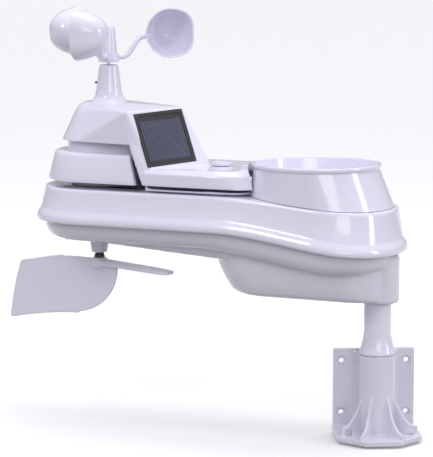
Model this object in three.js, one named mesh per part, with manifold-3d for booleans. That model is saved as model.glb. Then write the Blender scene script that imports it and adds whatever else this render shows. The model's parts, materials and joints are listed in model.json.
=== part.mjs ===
// Multi-sensor weather head: a louvred radiation shield with a cup anemometer above and a wind vane below,
// a solar panel, a rain collector over a tipping bucket, and the post and bracket that carry it.
// Millimetres, +Z up. Origin: underside of the bracket's base plate, on the post axis. +Y is the wall side.
import * as THREE from "three";
import { ConvexGeometry } from "three/addons/geometries/ConvexGeometry.js";
import { mergeVertices } from "three/addons/utils/BufferGeometryUtils.js";
import Module from "manifold-3d";

const wasm = await Module();
wasm.setup();

// ---- Driving dimensions ----
const GAP = 0.3;
const WALL = 2.4;
const HEAD_TURN = -28; // degrees, the head's rest direction on its post
const HOUSING = { left: -295.5, right: 19.5, half: 58.5 };
const LIP = { z: 162, dip: 15, from: -120, to: 19.5 };
const RIM = { z: 190, dip: 9 };
const BELLY = { z: 146.6, dip: 15, inset: 7 };
const SHIELD = { x: -237, louvreZ: 195.4, louvreTop: 219, coverZ: 227, top: 258, deckZ: 196 };
const TOWER = { normal: [0.7424, 0.4226], reach: -17.9, turn: 35, tilt: 25 };
const PANEL = { size: 45, spin: 4, thick: 1.4, border: 2.6, along: 29, z: 231.9 };
const DECK = { lift: 5.6, shoulder: 205.4, top: 209 };
const LEVEL = { x: -134, z: 207.4 };
const COLLECTOR = { x: -52, r: 51, z: 215, base: 184.5 };
const POST = { r: 10.7, flare: 14.6, flareZ: 66.4, tubeZ: 84.5, top: 146 };
const SLEEVE = { r: 14.8, bore: 13.2, floor: 4, top: 66 };
const BOSS = { r: 16.8, z: 107.5, top: 152 };
const MAST = { x: -235, z: 288, bore: 2.6 };
const HUB = { z: 290.1, cupZ: 313.5, cupR: 50 };
const VANE = { x: -245, z: 124, turn: -14.8 };
const PIVOT = { x: -52, z: 168, rest: 16 };
const BATTERY = { r: 7.1, length: 50, z: 124.5, pitch: 15.1, x: -80 };
const DOOR = { x0: -84, x1: -26, half: 20, z: 110, thick: 2.1 };

// ---- Solids ----
const DEG = Math.PI / 180;
const V = (x, y, z) => new THREE.Vector3(x, y, z);

function solid(geometry) {
  const bare = new THREE.BufferGeometry();
  bare.setAttribute("position", geometry.getAttribute("position"));
  bare.setIndex(geometry.index);
  const merged = mergeVertices(bare, 1e-4);
  return new wasm.Manifold(
    new wasm.Mesh({
      numProp: 3,
      vertProperties: new Float32Array(merged.attributes.position.array),
      triVerts: new Uint32Array(merged.index.array),
    }),
  );
}

function geometryOf(body) {
  const mesh = body.getMesh();
  const geometry = new THREE.BufferGeometry();
  geometry.setAttribute("position", new THREE.BufferAttribute(mesh.vertProperties, 3));
  geometry.setIndex(new THREE.BufferAttribute(mesh.triVerts, 1));
  return geometry;
}

const smooth = (from, to, x) => {
  const t = Math.min(1, Math.max(0, (x - from) / (to - from)));
  return t * t * (3 - 2 * t);
};

// A rounded outline, counter-clockwise from above: a round left end and a fuller right end.
function outline(left, right, half, zAt, { count = 32, full = 2.35 } = {}) {
  const ring = [];
  for (let i = 0; i < count; i++) {
    const a = ((i + 0.5) / count) * 2 * Math.PI;
    const c = Math.cos(a);
    const s = Math.sin(a);
    const power = c > 0 ? 2 / full : 1;
    const x = c > 0 ? right - half + half * Math.pow(c, power) : left + half + half * c;
    const y = half * Math.sign(s) * Math.pow(Math.abs(s), power);
    ring.push(V(x, y, zAt(x)));
  }
  return ring;
}

const circle = (x, y, z, r, count = 28) =>
  Array.from({ length: count }, (_, i) => {
    const a = ((i + 0.5) / count) * 2 * Math.PI;
    return V(x + r * Math.cos(a), y + r * Math.sin(a), z);
  });

// A closed skin through rings of equal count, listed from the bottom up.
function loft(rings) {
  const count = rings[0].length;
  const points = rings.flat();
  const index = [];
  for (let k = 0; k + 1 < rings.length; k++) {
    for (let i = 0; i < count; i++) {
      const j = (i + 1) % count;
      const a = k * count;
      const b = a + count;
      index.push(a + i, a + j, b + j, a + i, b + j, b + i);
    }
  }
  const centre = (ring) => ring.reduce((sum, p) => sum.add(p), V(0, 0, 0)).divideScalar(count);
  const low = points.length;
  points.push(centre(rings[0]), centre(rings[rings.length - 1]));
  const top = (rings.length - 1) * count;
  for (let i = 0; i < count; i++) {
    const j = (i + 1) % count;
    index.push(low, j, i, low + 1, top + i, top + j);
  }
  const geometry = new THREE.BufferGeometry().setFromPoints(points);
  geometry.setIndex(index);
  return solid(geometry);
}

const hull = (points) => solid(new ConvexGeometry(points));

// A turned piece about +Z; the profile lists [radius, z] from the axis round to the axis.
function turned(profile, segments = 24) {
  const points = profile.map(([r, z]) => new THREE.Vector2(r, z));
  return solid(new THREE.LatheGeometry(points, segments).rotateX(Math.PI / 2));
}

function rod(r, from, to, segments = 20) {
  const way = to.clone().sub(from);
  const geometry = new THREE.CylinderGeometry(r, r, way.length(), segments);
  geometry.applyQuaternion(new THREE.Quaternion().setFromUnitVectors(V(0, 1, 0), way.clone().normalize()));
  const middle = from.clone().add(to).multiplyScalar(0.5);
  return solid(geometry.translate(middle.x, middle.y, middle.z));
}

function block(x0, x1, y0, y1, z0, z1) {
  const geometry = new THREE.BoxGeometry(x1 - x0, y1 - y0, z1 - z0);
  return solid(geometry.translate((x0 + x1) / 2, (y0 + y1) / 2, (z0 + z1) / 2));
}

function prism(points, depth) {
  const shape = new THREE.Shape(points.map(([x, y]) => new THREE.Vector2(x, y)));
  return new THREE.ExtrudeGeometry(shape, { depth, bevelEnabled: false });
}

const join = (bodies) => bodies.reduce((all, body) => all.add(body));

// ---- Materials ----
const FINISH = {
  abs: { color: 0xe9e8f0, roughness: 0.22 },
  shade: { color: 0xe2e1e8, roughness: 0.3 },
  dark: { color: 0x35353b, roughness: 0.3 },
  cells: { color: 0x3c4358, roughness: 0.2 },
  steel: { color: 0xb8babd, roughness: 0.3, metalness: 1 },
  black: { color: 0x1b1b1d, roughness: 0.5 },
  board: { color: 0x1f6a3c, roughness: 0.5 },
  brass: { color: 0xc8a45a, roughness: 0.35, metalness: 1 },
  vial: { color: 0xd7e58a, roughness: 0.08 },
  cell: { color: 0x2c3a5c, roughness: 0.4 },
};

const group = new THREE.Group();
const bracketGroup = new THREE.Group();
const head = new THREE.Group();
head.rotation.z = HEAD_TURN * DEG;
group.add(bracketGroup, head);

function place(parent, name, body, finish) {
  const mesh = new THREE.Mesh(geometryOf(body), new THREE.MeshStandardMaterial({ ...FINISH[finish] }));
  mesh.name = name;
  parent.add(mesh);
}

// ---- Bracket and post ----
const PLATE = { front: -36, back: 20, half: 33, nose: 14, shoulder: -19, thick: 4 };
const BACK = { y0: 16.5, y1: 20, half: 32.5, top: 67, holeX: 26, holeZ: [15.7, 57.5] };

function mountingBracket() {
  const { front, back, half, nose, shoulder, thick } = PLATE;
  const right = [[nose, front], [half, shoulder], [half, back]];
  const edge = [...right, ...right.map(([x, y]) => [-x, y]).reverse()];
  const sleeve = rod(SLEEVE.r, V(0, 0, 0.5), V(0, 0, SLEEVE.top), 28);
  const backPlate = block(-BACK.half, BACK.half, BACK.y0, BACK.y1, 0.5, BACK.top);
  const parts = [solid(prism(edge, thick)), sleeve, backPlate];
  // The ribs' side views, beside the post and in front of it.
  const sideRib = [[12, 40], [15.4, 33], [21, 20.5], [28, 12.4], [34, 11.4], [34, 2], [12, 2]];
  const frontRib = [[12, 41], [15.4, 34], [21, 18.5], [29, 9.5], [37, 7], [37, 2], [12, 2]];
  for (const side of [-1, 1]) {
    // The web that joins the sleeve to the back plate.
    const foot = [[side * 12, 3], [side * 19, BACK.y0 + 1], [side * 15.5, BACK.y0 + 1], [side * 9, 5]];
    const web = prism(foot, BACK.top - 1.5);
    parts.push(solid(web.translate(0, 0, 0.5)));
    parts.push(rib(V(side * 31, -17, 0), sideRib), rib(V(side * 17.5, -34, 0), frontRib));
  }
  let body = join(parts);
  body = body.subtract(rod(SLEEVE.bore, V(0, 0, SLEEVE.floor), V(0, 0, SLEEVE.top + 5), 28));
  for (const x of [-BACK.holeX, BACK.holeX]) {
    for (const z of BACK.holeZ) {
      body = body.subtract(rod(1.9, V(x, BACK.y0 - 5, z), V(x, BACK.y1 + 5, z), 12));
      body = body.subtract(rod(3.5, V(x, BACK.y0 - 5, z), V(x, BACK.y0 + 1.2, z), 12));
    }
    body = body.subtract(rod(2.2, V(x * 0.96, -13, -5), V(x * 0.96, -13, 9), 12));
    body = body.subtract(rod(3.8, V(x * 0.96, -13, 2.6), V(x * 0.96, -13, 9), 16));
  }
  return body;
}

// A thin upright rib from the sleeve towards a point on the plate; the side view lists [distance, z].
function rib(towards, side) {
  const geometry = prism(side, 2.2);
  geometry.translate(0, 0, -1.1).rotateX(Math.PI / 2);
  return solid(geometry.rotateZ(Math.atan2(towards.y, towards.x)));
}

const postTube = () =>
  turned([
    [0, SLEEVE.floor + GAP], [SLEEVE.bore - GAP, SLEEVE.floor + GAP], [SLEEVE.bore - GAP, POST.flareZ],
    [POST.flare, POST.flareZ], [POST.flare, POST.flareZ + 1.2], [13.1, 72], [11.7, 78], [POST.r, POST.tubeZ],
    [POST.r, POST.top], [8.4, POST.top], [8.4, SLEEVE.floor + 2.5], [0, SLEEVE.floor + 2.5],
  ], 28);

place(bracketGroup, "mounting_bracket", mountingBracket(), "shade");
place(bracketGroup, "post_tube", postTube(), "abs");

// ---- Housing shells ----
const SCREWS = [[-262, 22], [-262, -22], [-150, 30], [-150, -30]];
const LOCK_Z = 122;
const lipZ = (x) => LIP.z - LIP.dip * smooth(LIP.from, LIP.to, x);
const rimZ = (x) => RIM.z - RIM.dip * smooth(LIP.from, LIP.to, x);
const bellyZ = (x) => BELLY.z - BELLY.dip * smooth(-140, -10, x);
const shellRing = (inset, zAt) =>
  outline(HOUSING.left + inset, HOUSING.right - inset, HOUSING.half - inset, zAt);

function skirtShell() {
  const outer = loft([
    shellRing(2.2, (x) => lipZ(x)), shellRing(0.4, (x) => lipZ(x) + 0.8), shellRing(0, (x) => lipZ(x) + 3),
    shellRing(1.2, (x) => lipZ(x) + 6.5), shellRing(3.4, (x) => lipZ(x) + 9.5),
    shellRing(6.8, (x) => rimZ(x) - 3), shellRing(7.6, (x) => rimZ(x) - 1), shellRing(9.4, rimZ),
  ]);
  const inner = loft([
    shellRing(WALL + 1.2, (x) => lipZ(x) - 4), shellRing(WALL + 1, (x) => lipZ(x) + 4),
    shellRing(WALL + 4.4, (x) => lipZ(x) + 10), shellRing(WALL + 7.5, (x) => rimZ(x) - WALL),
  ]);
  const air = rod(31, V(SHIELD.x, 0, 150), V(SHIELD.x, 0, 200), 28);
  const rain = rod(33, V(PIVOT.x, 0, 150), V(PIVOT.x, 0, 200), 28);
  return outer.subtract(inner).subtract(air).subtract(rain);
}

function sump(inset, floor) {
  const level = (left, half, z) => outline(left + inset, 10 - inset, half - inset, () => z, { full: 2.2 });
  return loft([
    level(-114, 30, floor), level(-119, 33, floor + 2.2), level(-125, 36, floor + 9),
    level(-132, 38, floor + 22), level(-140, 39, floor + 46),
  ]);
}

function underHousing() {
  const ring = (inset, zAt) =>
    outline(HOUSING.left + inset, HOUSING.right - inset + 1, HOUSING.half - inset, zAt);
  const top = (x) => lipZ(x) + 5;
  const outer = loft([
    ring(BELLY.inset + 16, bellyZ), ring(BELLY.inset + 8, (x) => bellyZ(x) + 1.8),
    ring(BELLY.inset + 2.2, (x) => bellyZ(x) + 7), ring(BELLY.inset, (x) => bellyZ(x) + 14),
    ring(BELLY.inset, top),
  ]);
  const inner = loft([
    ring(BELLY.inset + 17, (x) => bellyZ(x) + WALL), ring(BELLY.inset + 10, (x) => bellyZ(x) + WALL + 1.8),
    ring(BELLY.inset + WALL + 2.2, (x) => bellyZ(x) + WALL + 7),
    ring(BELLY.inset + WALL, (x) => bellyZ(x) + 16),
    ring(BELLY.inset + WALL, (x) => top(x) + 6),
  ]);
  const boss = turned([
    [0, BOSS.z], [BOSS.r - 1, BOSS.z], [BOSS.r, BOSS.z + 1], [BOSS.r, 143], [13, 146.5], [13, BOSS.top],
    [0, BOSS.top],
  ], 28);
  const bore = rod(POST.r + GAP, V(0, 0, 100), V(0, 0, POST.top + 1), 28);
  const vaneBoss = rod(8, V(VANE.x, 0, 136), V(VANE.x, 0, BELLY.z + 6), 28);
  const hollow = inner.add(sump(WALL, 110 + WALL));
  const holder = join([boss, vaneBoss]);
  const doorway = block(DOOR.x0, DOOR.x1, -DOOR.half, DOOR.half, 100, DOOR.z + 4);
  const screwHoles = join(SCREWS.map(([x, y]) => rod(1.8, V(x, y, 130), V(x, y, 155), 12)));
  const lockHole = rod(2.2, V(0, POST.r, LOCK_Z), V(0, 30, LOCK_Z), 16);
  return outer
    .add(sump(0, 110))
    .subtract(hollow)
    .add(holder)
    .subtract(bore)
    .subtract(rod(2.2, V(VANE.x, 0, 120), V(VANE.x, 0, 160), 20))
    .subtract(screwHoles)
    .subtract(lockHole)
    .subtract(doorway);
}

place(head, "under_housing", underHousing(), "shade");
place(head, "skirt_shell", skirtShell(), "abs");

// ---- Radiation shield ----
function middleLouver() {
  const at = (r, z) => outline(SHIELD.x - r, -140, r, () => z, { full: 2 });
  const outer = loft([at(48.5, SHIELD.louvreZ), at(48.1, SHIELD.louvreZ + 2), at(43.2, SHIELD.louvreTop - 3),
    at(41, SHIELD.louvreTop)]);
  const roof = SHIELD.louvreTop - 3.6;
  const inner = loft([at(46, SHIELD.louvreZ - 3), at(40.2, roof), at(33, roof)]);
  const vent = loft([at(27, SHIELD.louvreTop - 9), at(27, SHIELD.louvreTop + 4)]);
  // The louvre ends on a slanted plane beside the tower.
  const slant = [[-186, 190], [-198.7, 227.5], [-100, 190], [-100, 227.5]];
  const cut = hull([-70, 70].flatMap((y) => slant.map(([x, z]) => V(x, y, z))));
  const collar = loft([at(32.4, roof), at(32.4, SHIELD.coverZ)]);
  const throat = loft([at(30, roof - 1), at(30, SHIELD.coverZ + 1)]);
  return outer.subtract(inner).subtract(vent).add(collar.subtract(throat)).subtract(cut);
}

function shieldNeck() {
  const outer = rod(30, V(SHIELD.x, 0, 190.4), V(SHIELD.x, 0, 214), 32);
  return outer.subtract(rod(30 - WALL, V(SHIELD.x, 0, 180), V(SHIELD.x, 0, 222), 32));
}

// A point on the tower's front facet: distance left of the nose ridge, height, and side.
function facet(along, z, side, inset = 0) {
  const ridge = (TOWER.reach - TOWER.normal[1] * z) / TOWER.normal[0] - inset / TOWER.normal[0];
  const a = TOWER.turn * DEG;
  return V(ridge - along * Math.sin(a), side * along * Math.cos(a), z);
}

function coverSolid(inset) {
  const { coverZ, deckZ } = SHIELD;
  const top = SHIELD.top - inset;
  const foot = coverZ - (inset ? 4 : 0);
  const ring = (r, z) => circle(SHIELD.x + 1, 0, z, r - inset);
  const shoulder = Math.min(252.5, top - 2);
  const dome = [...ring(38, foot), ...ring(28.6, 247), ...ring(25.8, shoulder), ...ring(18.5, top)];
  const tower = [];
  for (const side of [-1, 1]) {
    const wall = (x, y, z) => V(x, side * (y - inset), z);
    const edge = (along, z) => facet(along - inset, z, side, inset);
    const nose = (z) => facet(0.5, z, side, inset);
    dome.push(wall(-196, 45, foot), edge(51, coverZ), nose(coverZ));
    dome.push(edge(52, 253.2 - inset), nose(255 - inset));
    dome.push(wall(-214, 37, 247 - inset), wall(-214, 32, 255 - inset));
    tower.push(wall(-195 + inset, 45, 224), wall(-181 + inset, 50, deckZ - inset), edge(59, deckZ - inset));
    tower.push(nose(deckZ - inset), edge(51, 229), nose(229), wall(-196, 45, 229));
  }
  const deckRing = (right, half, zAt) =>
    outline(-178 - half, right - inset, half - inset, zAt, { full: 4 })
      .map((p) => V(Math.max(p.x, -180 + inset), p.y, p.z));
  const deck = loft([
    deckRing(-88, 50, (x) => rimZ(x) + DECK.lift - inset), deckRing(-93, 48.8, () => DECK.shoulder),
    deckRing(-99, 44.5, () => DECK.top - inset),
  ]);
  // The plinth stands in from the deck's edge, so that a shadow gap runs above the skirt.
  const plinth = loft([deckRing(-94, 46, (x) => rimZ(x) + 1.2 - inset), deckRing(-94, 46, () => 200)]);
  return join([hull(dome), hull(tower), deck, plinth]);
}

// The panel's frame on the near facet: x to the left of the nose, y down the slope, z out of the face.
const panelFrame = new THREE.Matrix4();
{
  const a = TOWER.turn * DEG;
  const t = TOWER.tilt * DEG;
  const out = V(Math.cos(a) * Math.cos(t), -Math.sin(a) * Math.cos(t), Math.sin(t));
  const across = V(-Math.sin(a), -Math.cos(a), 0);
  const middle = facet(PANEL.along, PANEL.z, -1);
  panelFrame.makeBasis(across, out.clone().cross(across), out).setPosition(middle);
  panelFrame.multiply(new THREE.Matrix4().makeRotationZ(PANEL.spin * DEG));
}
const onPanel = (w, h, z0, z1) => {
  const geometry = new THREE.BoxGeometry(w, h, z1 - z0).translate(0, 0, (z0 + z1) / 2);
  return solid(geometry.applyMatrix4(panelFrame));
};

// The collector's lower outline, drawn in by an inset, at a height above the skirt's top edge.
const collectorFoot = (inset, height) => {
  const left = COLLECTOR.x - 54 + inset;
  return outline(left, 9.5 - inset, 50.5 - inset, (x) => rimZ(x) + height, { count: 36, full: 2.15 });
};

function topCover() {
  const { size, thick } = PANEL;
  const pocket = onPanel(size + 2 * GAP, size + 2 * GAP, -thick - GAP, 12);
  const wire = onPanel(10, 6, -10, 1);
  const mastHole = rod(MAST.bore, V(MAST.x, 0, 240), V(MAST.x, 0, 300), 20);
  const mastSide = [[14, 255], [13.2, 258.2], [11.4, 261], [7.9, MAST.z - 1.5], [7.4, MAST.z]];
  const mast = turned([[0, 255], ...mastSide, [0, MAST.z]]).translate([MAST.x, 0, 0]);
  const pinHole = rod(1.3, V(MAST.x - 20, 0, 273), V(MAST.x - 6, 0, 273), 14);
  const level = rod(6.4, V(LEVEL.x, 0, LEVEL.z - GAP), V(LEVEL.x, 0, LEVEL.z + 9), 28);
  const well = (grow) => loft([collectorFoot(-grow, -20), collectorFoot(-grow, 45)]);
  const collar = well(6).intersect(block(-130, -98, -24, 24, DECK.shoulder, DECK.top + 4));
  return coverSolid(0)
    .add(mast)
    .add(collar)
    .subtract(well(0.5))
    .subtract(coverSolid(WALL))
    .subtract(pocket)
    .subtract(wire)
    .subtract(mastHole)
    .subtract(pinHole)
    .subtract(level);
}

place(head, "middle_louver", middleLouver(), "abs");
place(head, "shield_neck", shieldNeck(), "shade");
place(head, "top_cover", topCover(), "abs");
{
  const { size, thick, border } = PANEL;
  const window = size - 2 * border;
  const frame = onPanel(size, size, -thick, 0).subtract(onPanel(window, window, -thick - 1, 1));
  place(head, "solar_panel_frame", frame, "dark");
  place(head, "solar_cells", onPanel(window - 2 * GAP, window - 2 * GAP, -thick, -0.3), "cells");
}
const levelSide = [[0, 0], [6, 0], [6, 1.9], [8.2, 1.9], [8.2, 4.6], [4.9, 4.6], [4.9, 1.6], [0, 1.6]];
const levelCup = turned(levelSide, 28);
place(head, "level_cup", levelCup.translate([LEVEL.x, 0, LEVEL.z]), "abs");
const levelVial = turned([[0, 1.9], [4.6, 1.9], [4.6, 4.2], [0, 4.8]], 24);
place(head, "level_vial", levelVial.translate([LEVEL.x, 0, LEVEL.z]), "vial");
place(head, "mast_pin", rod(1, V(MAST.x - 12.5, 0, 273), V(MAST.x - 6.8, 0, 273), 12), "black");

// ---- Cup anemometer, turned about the mast axis ----
const rotor = new THREE.Group();
rotor.position.set(MAST.x, 0, 0);
head.add(rotor);

function cupHub() {
  const side = [[0, 0], [8.7, 0], [8.5, 4.4], [7.2, 7.4], [6.4, 14.4], [5.6, 23.4], [4.7, 29.4], [0, 29.4]];
  const body = turned(side.map(([r, up]) => [r, HUB.z + up]), 28);
  return body.subtract(rod(1.8, V(0, 0, HUB.z - 4), V(0, 0, HUB.cupZ), 16));
}

// A turned piece at a cup's centre, about the cup's own axis, which lies across its arm.
function atCup(profile) {
  const geometry = new THREE.LatheGeometry(profile.map(([r, y]) => new THREE.Vector2(r, y)), 18);
  return solid(geometry.rotateX(Math.PI).translate(HUB.cupR, 0, HUB.cupZ));
}

// A blunt cone open at its mouth, with the arm that carries it; the mouth faces -Y and the arm runs along +X.
function cupWithArm() {
  const outer = [[0, -19.2], [4, -18.9], [8.5, -17.2], [13, -13.2], [17, -6.8], [19.8, 2.4], [20.3, 4.8]];
  const inner = [[18.6, 4.8], [18, 2.4], [15.4, -5.9], [11.6, -11.6], [7.4, -15.2], [3.5, -16.7], [0, -17.1]];
  const hollow = atCup([[0, -18.2], [8, -16.2], [15.8, -6.3], [19, 2.4], [19.2, 10], [0, 10]]);
  const rise = [[8.3, 3.9], [13, 4.4], [17.5, 7.4], [21.5, 13.4], [26, 19.4], [33.4, 21.4]];
  const path = new THREE.CatmullRomCurve3(rise.map(([x, up]) => V(x, 0, HUB.z + up)));
  const section = new THREE.Shape().absarc(0, 0, 2.1, 0, 2 * Math.PI);
  const arm = solid(new THREE.ExtrudeGeometry(section, { steps: 9, extrudePath: path, curveSegments: 4 }));
  const hubSpace = rod(9, V(0, 0, 280), V(0, 0, 330), 24);
  return arm.subtract(hollow).subtract(hubSpace).add(atCup([...outer, ...inner]));
}

place(rotor, "cup_hub", cupHub(), "abs");
const CUP_ANGLES = [35.2, 155.2, 275.2];
const cupBody = cupWithArm();
CUP_ANGLES.forEach((angle, i) => {
  const turn = new THREE.Group();
  turn.rotation.z = angle * DEG;
  rotor.add(turn);
  place(turn, `cup_${i + 1}`, cupBody, "abs");
});
place(rotor, "cup_shaft", rod(1.5, V(0, 0, 240), V(0, 0, HUB.cupZ - GAP), 16), "steel");
place(rotor, "wind_magnet", rod(4.5, V(0, 0, 233), V(0, 0, 239.7), 20), "steel");
place(head, "mast_bearing", rod(5.5, V(MAST.x, 0, 250), V(MAST.x, 0, 255.2), 24)
  .subtract(rod(1.8, V(MAST.x, 0, 245), V(MAST.x, 0, 262), 16)), "brass");

// ---- Wind vane ----
const vane = new THREE.Group();
vane.position.set(VANE.x, 0, 0);
vane.rotation.z = VANE.turn * DEG;
head.add(vane);

// The pointer arm along +X and the tail fin along -X, one moulding.
function vanePointer() {
  // Each station: distance along the arm, half width, underside and top.
  const stations = [[-4, 5, -2.6, 2.6], [70, 6.5, -4, 1], [78, 4, -3.6, 0.6]];
  const corners = ([x, half, low, high]) =>
    [-half, half].flatMap((y) => [low, high].map((z) => V(x, y, VANE.z + z)));
  const arm = hull(stations.flatMap(corners));
  const fin = new THREE.Shape();
  fin.moveTo(20, 119);
  fin.bezierCurveTo(19, 100, 2, 83, -24, 79);
  fin.bezierCurveTo(-50, 77.5, -80, 72, -104.4, 66.8);
  fin.bezierCurveTo(-102, 82, -98, 100, -91, 115.6);
  fin.bezierCurveTo(-70, 120, -50, 124, -37, 125.5);
  fin.bezierCurveTo(-20, 126.6, -8, 126.4, 20, 126.4);
  const blade = new THREE.ExtrudeGeometry(fin, { depth: 2, bevelEnabled: false, curveSegments: 8 });
  blade.translate(0, 0, -1).rotateX(Math.PI / 2);
  const boss = rod(6.5, V(0, 0, 119), V(0, 0, 127.5), 24);
  return join([arm, solid(blade), boss]).subtract(rod(1.8, V(0, 0, 121.5), V(0, 0, 135), 16));
}

place(vane, "vane_pointer", vanePointer(), "abs");
place(vane, "vane_shaft", rod(1.5, V(0, 0, 121.9), V(0, 0, 159), 16), "steel");
place(vane, "vane_collar", turned([[1.9, 128], [4.6, 128], [3, 132.6], [1.9, 132.6], [1.9, 128]], 20), "black");
place(vane, "vane_magnet", rod(4.5, V(0, 0, 159.3), V(0, 0, 163), 20), "steel");
place(head, "direction_board", rod(15, V(VANE.x, 0, 164.4), V(VANE.x, 0, 166), 28), "board");

// ---- Rain collector and tipping bucket ----
function rainCollector() {
  const { x, r, z, base } = COLLECTOR;
  const mouth = (radius, height) => circle(x, 0, height, radius, 36);
  const outer = loft([
    collectorFoot(0, 0.4), collectorFoot(0.3, 6), mouth(r - 1.4, z - 4), mouth(r, z - 2.6), mouth(r, z - 0.6),
    mouth(r - 0.8, z),
  ]);
  const skirt = loft([
    collectorFoot(WALL, -2), collectorFoot(WALL, 3), mouth(r - 7, base + 8), mouth(7, base + 3),
  ]);
  const side = [[3.6, 186], [3.6, 193.5], [r - 6, 199], [r - 2.6, 208], [r - 2.2, z + 2]];
  const bowl = turned([[0, 186], ...side, [0, z + 2]], 36);
  const spout = turned([[0, 183], [5.8, 183], [6.4, 196], [0, 196]], 32);
  return outer
    .subtract(skirt)
    .add(spout.translate([x, 0, 0]))
    .subtract(bowl.translate([x, 0, 0]))
    .subtract(rod(3.6, V(x, 0, 178), V(x, 0, 196), 32));
}

const bucketTurn = new THREE.Group();
bucketTurn.position.set(PIVOT.x, 0, PIVOT.z);
bucketTurn.rotation.y = PIVOT.rest * DEG;
head.add(bucketTurn);

function tippingBucket() {
  const side = [[-27, 3.4], [-25, 9.9], [-1, 13.4], [1, 13.4], [25, 9.9], [27, 3.4], [5, -0.6], [-5, -0.6]];
  const body = solid(prism(side, 34).translate(0, 0, -17).rotateX(Math.PI / 2));
  const pans = [-1, 1].map((way) => {
    const pan = [[way * 1.2, 16.4], [way * 1.2, 1.6], [way * 5, 1.2], [way * 27, 5.2], [way * 30, 16.4]];
    return solid(prism(way > 0 ? pan.reverse() : pan, 30).translate(0, 0, -15).rotateX(Math.PI / 2));
  });
  const sleeve = rod(2.6, V(0, -17, 0), V(0, 17, 0), 16);
  return body.subtract(pans[0]).subtract(pans[1]).add(sleeve).subtract(rod(1.3, V(0, -20, 0), V(0, 20, 0), 12));
}

function bucketFrame() {
  const base = block(-32, 32, -25, 25, -20.5, -18.5);
  const drain = [-1, 1].map((way) => block(way * 13 - 6, way * 13 + 6, -14, 14, -30, -10));
  const ears = [-1, 1].map((way) => block(-6, 6, way * 21 - 1.5, way * 21 + 1.5, -18.8, 5));
  const stops = [-1, 1].map((way) => block(way * 22.5 - 1.5, way * 22.5 + 1.5, -20, 20, -19, -5.2));
  const axle = rod(1.3, V(0, -30, 0), V(0, 30, 0), 12);
  return join([base, ...ears, ...stops]).subtract(axle).subtract(drain[0]).subtract(drain[1]);
}

place(head, "rain_collector", rainCollector(), "abs");
const screenBars = [-1, 0, 1].map((row) => block(-15, 15, row * 7 - 1, row * 7 + 1, 201.2, 203));
const screenDisc = rod(16, V(0, 0, 201), V(0, 0, 203.4), 20);
const screenRing = screenDisc.subtract(rod(13.6, V(0, 0, 198), V(0, 0, 206), 20));
const screenFeet = [0, 120, 240].map((a) => rod(1.6, V(14.8, 0, 196.4), V(14.8, 0, 202), 8).rotate([0, 0, a]));
const screen = join([screenRing, ...screenBars, ...screenFeet]).translate([COLLECTOR.x, 0, 0]);
place(head, "debris_screen", screen, "shade");
place(bucketTurn, "tipping_bucket", tippingBucket(), "black");
place(bucketTurn, "bucket_pin", rod(1, V(0, -22.4, 0), V(0, 22.4, 0), 12), "steel");
place(bucketTurn, "bucket_magnet", block(-2.5, 2.5, 17.3, 19, 3.4, 7.4), "steel");
place(head, "bucket_frame", bucketFrame().translate([PIVOT.x, 0, PIVOT.z]), "shade");

// ---- Electronics, fan and cells ----
place(head, "main_board", block(-190, -100, -30, 30, 166, 167.6), "board");
place(head, "climate_sensor", block(-248, -226, -1, 1, 194, 212), "board");
const fanTurn = new THREE.Group();
fanTurn.position.set(SHIELD.x, 0, 0);
head.add(fanTurn);
const spokes = [0, 90].map((a) => rod(1.2, V(-25.5, 0, 170), V(25.5, 0, 170), 8).rotate([0, 0, a]));
const fanRing = rod(26, V(0, 0, 168), V(0, 0, 184), 24).subtract(rod(23, V(0, 0, 160), V(0, 0, 190), 24));
const fanPost = rod(5, V(0, 0, 168.6), V(0, 0, 174.5), 20);
place(fanTurn, "fan_frame", join([fanRing, ...spokes, fanPost]), "black");
const blades = [0, 72, 144, 216, 288].map((a) => {
  const blade = new THREE.BoxGeometry(15, 9, 1.2).rotateX(28 * DEG).translate(13.6, 0, 179);
  return solid(blade.rotateZ(a * DEG));
});
place(fanTurn, "fan_rotor", join([rod(7.5, V(0, 0, 175), V(0, 0, 183), 24), ...blades]), "black");

for (let i = 0; i < 4; i++) {
  const { r, length, z, x, pitch } = BATTERY;
  const y = (i - 1.5) * pitch;
  const can = rod(r, V(x, y, z), V(x + length - 1.5, y, z), 14);
  const tip = rod(2.6, V(x + length - 2, y, z), V(x + length, y, z), 12);
  place(head, `battery_cell_${i + 1}`, join([can, tip]), "cell");
}
{
  const ends = [BATTERY.x - 1.6, BATTERY.x + BATTERY.length + 1.6];
  const walls = ends.map((x) => block(x - 1, x + 1, -24, 24, 119, 133));
  place(head, "battery_tray", join([block(ends[0] - 1, ends[1] + 1, -29, 29, 132.2, 134), ...walls]), "black");
}
{
  const { x0, x1, half, z, thick } = DOOR;
  const lid = block(x0 + GAP, x1 - GAP, -half + GAP, half - GAP, z, z + thick);
  const latch = block(x1 - 10, x1 - 2, -6, 6, z - 2, z + 1);
  place(head, "battery_door", lid.add(latch), "shade");
}
place(head, "channel_switch", block(-24.5, -20.5, -3, 3, 136, 139), "black");
place(head, "locking_screw", rod(1.9, V(0, 11.1, LOCK_Z), V(0, 19, LOCK_Z), 14), "steel");
SCREWS.forEach(([x, y], i) => {
  const z = bellyZ(x) - 2;
  const screwHead = rod(3.2, V(x, y, z), V(x, y, z + 1.6), 14);
  place(head, `housing_screw_${i + 1}`, screwHead.add(rod(1.4, V(x, y, z + 1), V(x, y, z + 8), 10)), "steel");
});

export default group;
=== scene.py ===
import json
import math

import bmesh
import bpy
from mathutils import Matrix, Vector


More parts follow.
